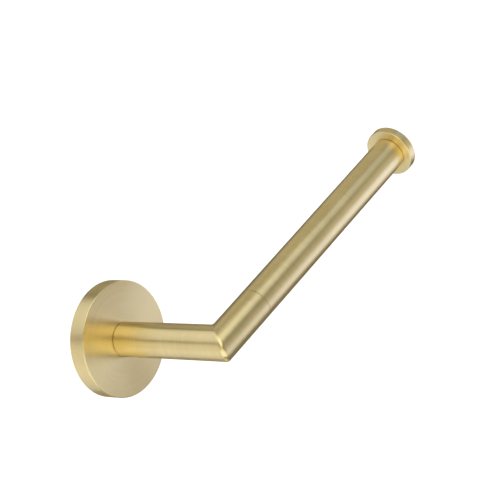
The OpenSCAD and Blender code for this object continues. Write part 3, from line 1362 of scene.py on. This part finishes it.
@dataclass
class RollSleeve(SubAssembly):
    """The turning sleeve and its two bushes."""

    bore_r: float = 7.05 * MM
    seat_depth: float = 0.66 * MM
    fit: float = 0.02 * MM
    journal_r: float = 5.0 * MM
    running: float = 0.05 * MM
    bush_len: float = 10.0 * MM
    flange_t: float = 0.8 * MM
    flange_proud: float = 0.14 * MM
    edge: float = 0.07 * MM
    seat_edge: float = 0.05 * MM

    def build(self) -> None:
        """Build and dress all pieces."""
        self.sleeve()
        inner = self.bush("inner_bush_moulding")
        outer = self.turned_round(inner, "outer_bush_moulding")
        for bush, node in ((inner, "inner_bush"), (outer, "outer_bush")):
            self.dress(bush, [brown_acetal()], Slot.ACETAL, "sleeve", [node])

    def sleeve(self) -> None:
        """Turn the sleeve, with a seat for a bush in each end."""
        at, arm = self.layout, self.layout.arm
        start, end = at.sleeve_start, at.sleeve_end
        seat_r = at.flange_r + self.fit
        sleeve = turn_part("roll_sleeve_tube", arm, [
            Corner(start, at.tube_r, self.edge),
            Corner(end, at.tube_r, self.edge),
            Corner(end, seat_r, self.seat_edge),
            Corner(end - self.seat_depth, seat_r),
            Corner(end - self.seat_depth, self.bore_r),
            Corner(start + self.seat_depth, self.bore_r),
            Corner(start + self.seat_depth, seat_r),
            Corner(start, seat_r, self.seat_edge),
        ], hollow=True, sides=SIDES)
        brass = visible_brass("brushed_brass_arm", arm)
        self.dress(sleeve, [brass], Slot.BRUSHED_BRASS, "sleeve", ["roll_sleeve"])

    def bush(self, name: str) -> bpy.types.Object:
        """Turn the flanged bush at the sleeve's start.

        Args:
            name: Name of the piece.

        Returns:
            The new piece.
        """
        at, arm = self.layout, self.layout.arm
        bore = self.journal_r + self.running
        body_r = self.bore_r - self.fit
        outer = at.sleeve_start - self.flange_proud
        inner = at.sleeve_start + self.bush_len
        shoulder = outer + self.flange_t
        return turn_part(name, arm, [
            Corner(outer, bore, LIGHT),
            Corner(outer, at.flange_r, BURR),
            Corner(shoulder, at.flange_r, BURR),
            Corner(shoulder, body_r),
            Corner(inner, body_r, LEAD),
            Corner(inner, bore, PLAIN),
        ], hollow=True)

    def turned_round(self, piece: bpy.types.Object, name: str) -> bpy.types.Object:
        """Copy a piece to the sleeve's other end, turned half round.

        Args:
            piece: The piece at the sleeve's start.
            name: Name of the copy.

        Returns:
            The copy, with its own mesh.
        """
        at = self.layout
        middle = at.arm.at((at.sleeve_start + at.sleeve_end) / 2)
        choose(piece)
        bpy.ops.object.duplicate(linked=False)
        copy = name_piece(name)
        bpy.ops.object.mode_set(mode="EDIT")
        bpy.ops.mesh.select_all(action="SELECT")
        bpy.ops.transform.rotate(value=math.pi, orient_axis="Z", center_override=middle)
        bpy.ops.object.mode_set(mode="OBJECT")
        return copy


# ---------------------------------------------------------------- studio


@dataclass(frozen=True)
class Softbox:
    """One round studio light.

    Attributes:
        name: Name of the light.
        turn: Where it stands round the object, in degrees to the camera's right.
        lift: How far up it stands, in degrees.
        distance: From the middle of the object, in metres.
        diameter: Across its face, in metres.
        power: Strength, in watts.
        tint: Colour of its light.
    """

    name: str
    turn: float
    lift: float
    distance: float
    diameter: float
    power: float
    tint: tuple[float, float, float] = (1.0, 1.0, 1.0)


@dataclass
class Studio:
    """Camera, lights and floor.

    The camera looks level at the holder with its arm lifted by `lean`. Here the
    arm rests level, so camera and lights lean back by as much about the post.
    The camera's numbers come from a numeric fit. So do those of all the lights
    but `back_low`, rounded to about two digits; `back_low`'s numbers are given.
    """

    layout: Layout
    lean: float = math.radians(35.16)
    azimuth: float = math.radians(49.82)
    distance: float = 0.8325
    target: tuple[float, float, float] = (0.0404, -0.0678, 0.0224)
    lens: float = 131.98
    sensor: float = 36.0
    floor_z: float = -1.2
    floor_size: float = 14.0
    floor_dim: Colour = (0.80, 0.80, 0.80, 1.0)
    floor_pale: Colour = (0.84, 0.84, 0.84, 1.0)
    near_clip: float = 0.01
    ambient: float = 0.2
    ambient_tint: Colour = (1.0, 0.96, 0.84, 1.0)
    lights: tuple[Softbox, ...] = (
        Softbox("key", -2, 44, 0.56, 0.78, 1.95, (0.96, 1.0, 1.0)),
        Softbox("top", 63, 60, 0.60, 0.39, 0.2, (0.58, 0.70, 1.0)),
        Softbox("left", -83, 32, 1.16, 1.38, 4.0, (0.82, 0.87, 1.0)),
        Softbox("right", 120, 19, 1.76, 2.46, 9.9, (0.96, 0.96, 1.0)),
        Softbox("far_right", 112, 2, 0.82, 0.45, 0.64, (0.36, 0.47, 1.0)),
        Softbox("front", -10, -7, 1.51, 1.19, 2.5, (1.0, 0.93, 0.68)),
        Softbox("front_right", 11, -20, 1.10, 0.55, 0.9, (0.89, 1.0, 0.79)),
        Softbox("left_low", -64, -15, 1.33, 0.81, 0.95, (1.0, 0.94, 0.87)),
        Softbox("low_right", 51, -39, 0.54, 0.60, 0.94, (0.96, 1.0, 0.96)),
        Softbox("low_left", -32, -56, 1.21, 1.44, 6.4, (0.94, 0.97, 1.0)),
        Softbox("back_left", -112, -33, 0.80, 1.11, 2.1, (0.82, 0.87, 1.0)),
        Softbox("back_high", -168, 59, 0.50, 0.50, 0.18, (1.0, 0.94, 0.70)),
        Softbox("back_low", 170, -62, 0.70, 0.50, 0.45, (1.0, 0.93, 0.80)),
    )

    def build(self) -> None:
        """Build camera, lights, floor and surroundings."""
        self.camera()
        for light in self.lights:
            self.softbox(light)
        self.floor()
        self.surroundings()
        bpy.context.scene.view_settings.view_transform = "Standard"

    def leaned(self, direction: Vector) -> Vector:
        """Lean a direction back from the camera's level frame."""
        return Matrix.Rotation(self.lean, 3, "Y") @ direction

    def camera(self) -> None:
        """Place the camera and make it the scene's."""
        forward = self.leaned(Vector((math.sin(self.azimuth), math.cos(self.azimuth), 0)))
        up = self.leaned(Vector((0, 0, 1)))
        side = forward.cross(up)
        data = bpy.data.cameras.new("camera")
        data.lens = self.lens
        data.sensor_width = self.sensor
        data.clip_start = self.near_clip
        camera = bpy.data.objects.new("camera", data)
        bpy.context.scene.collection.objects.link(camera)
        turned = Matrix((side, up, -forward)).transposed().to_4x4()
        camera.matrix_world = Matrix.Translation(Vector(self.target) - forward * self.distance) @ turned
        bpy.context.scene.camera = camera

    def softbox(self, light: Softbox) -> None:
        """Hang one light, facing the object.

        Args:
            light: Its place, size and strength.
        """
        heading = self.azimuth + math.pi - math.radians(light.turn)
        lift = math.radians(light.lift)
        level = Vector((math.sin(heading), math.cos(heading), math.tan(lift))).normalized()
        towards = self.leaned(level)
        data = bpy.data.lights.new(light.name, "AREA")
        data.shape = "DISK"
        data.size = light.diameter
        data.energy = light.power
        data.color = light.tint
        lamp = bpy.data.objects.new(light.name, data)
        bpy.context.scene.collection.objects.link(lamp)
        lamp.location = Vector(self.target) + towards * light.distance
        lamp.rotation_mode = "QUATERNION"
        lamp.rotation_quaternion = towards.to_track_quat("Z", "Y")
        lamp.visible_camera = False

    def floor(self) -> None:
        """Lay a plain pale floor, bright enough to show no shadow."""
        bpy.ops.object.select_all(action="DESELECT")
        bpy.ops.mesh.primitive_plane_add(size=self.floor_size, location=(0, 0, self.floor_z))
        floor = name_piece("floor")
        material, graph, paint, coords = open_material("pale_floor")
        cloud = graph.noise(coords.outputs["Object"], 3.0, 2.0)
        pale = graph.blend(cloud, self.floor_dim, self.floor_pale)
        graph.feed(paint.inputs["Base Color"], pale)
        paint.inputs["Roughness"].default_value = 0.9
        paint.inputs["Emission Color"].default_value = WHITE
        paint.inputs["Emission Strength"].default_value = 1.0
        floor.data.materials.append(material)
        floor.visible_glossy = False
        floor.visible_diffuse = False
        floor.visible_shadow = False

    def surroundings(self) -> None:
        """Light the surroundings evenly, and show them white."""
        world = bpy.data.worlds.new("studio")
        bpy.context.scene.world = world
        world.use_nodes = True
        graph = Graph(world.node_tree)
        out = graph.add("ShaderNodeOutputWorld")
        shade = graph.add("ShaderNodeBackground")
        graph.feed(out.inputs["Surface"], shade.outputs["Background"])
        path = graph.add("ShaderNodeLightPath")
        seen = path.outputs["Is Camera Ray"]
        graph.feed(shade.inputs["Color"], graph.blend(seen, self.ambient_tint, WHITE))
        graph.feed(shade.inputs["Strength"], graph.spread(seen, self.ambient, 1.0))


def main() -> None:
    """Build the holder and its studio."""
    logging.basicConfig(level=logging.INFO, format="%(name)s: %(message)s")
    layout = Layout.read()
    for part in (WallFixing(layout), Pivot(layout), Arm(layout), RollSleeve(layout)):
        part.build()
        log.info("%s: %s", type(part).__name__, ", ".join(part.made))
    Studio(layout).build()


if __name__ == "__main__":
    main()
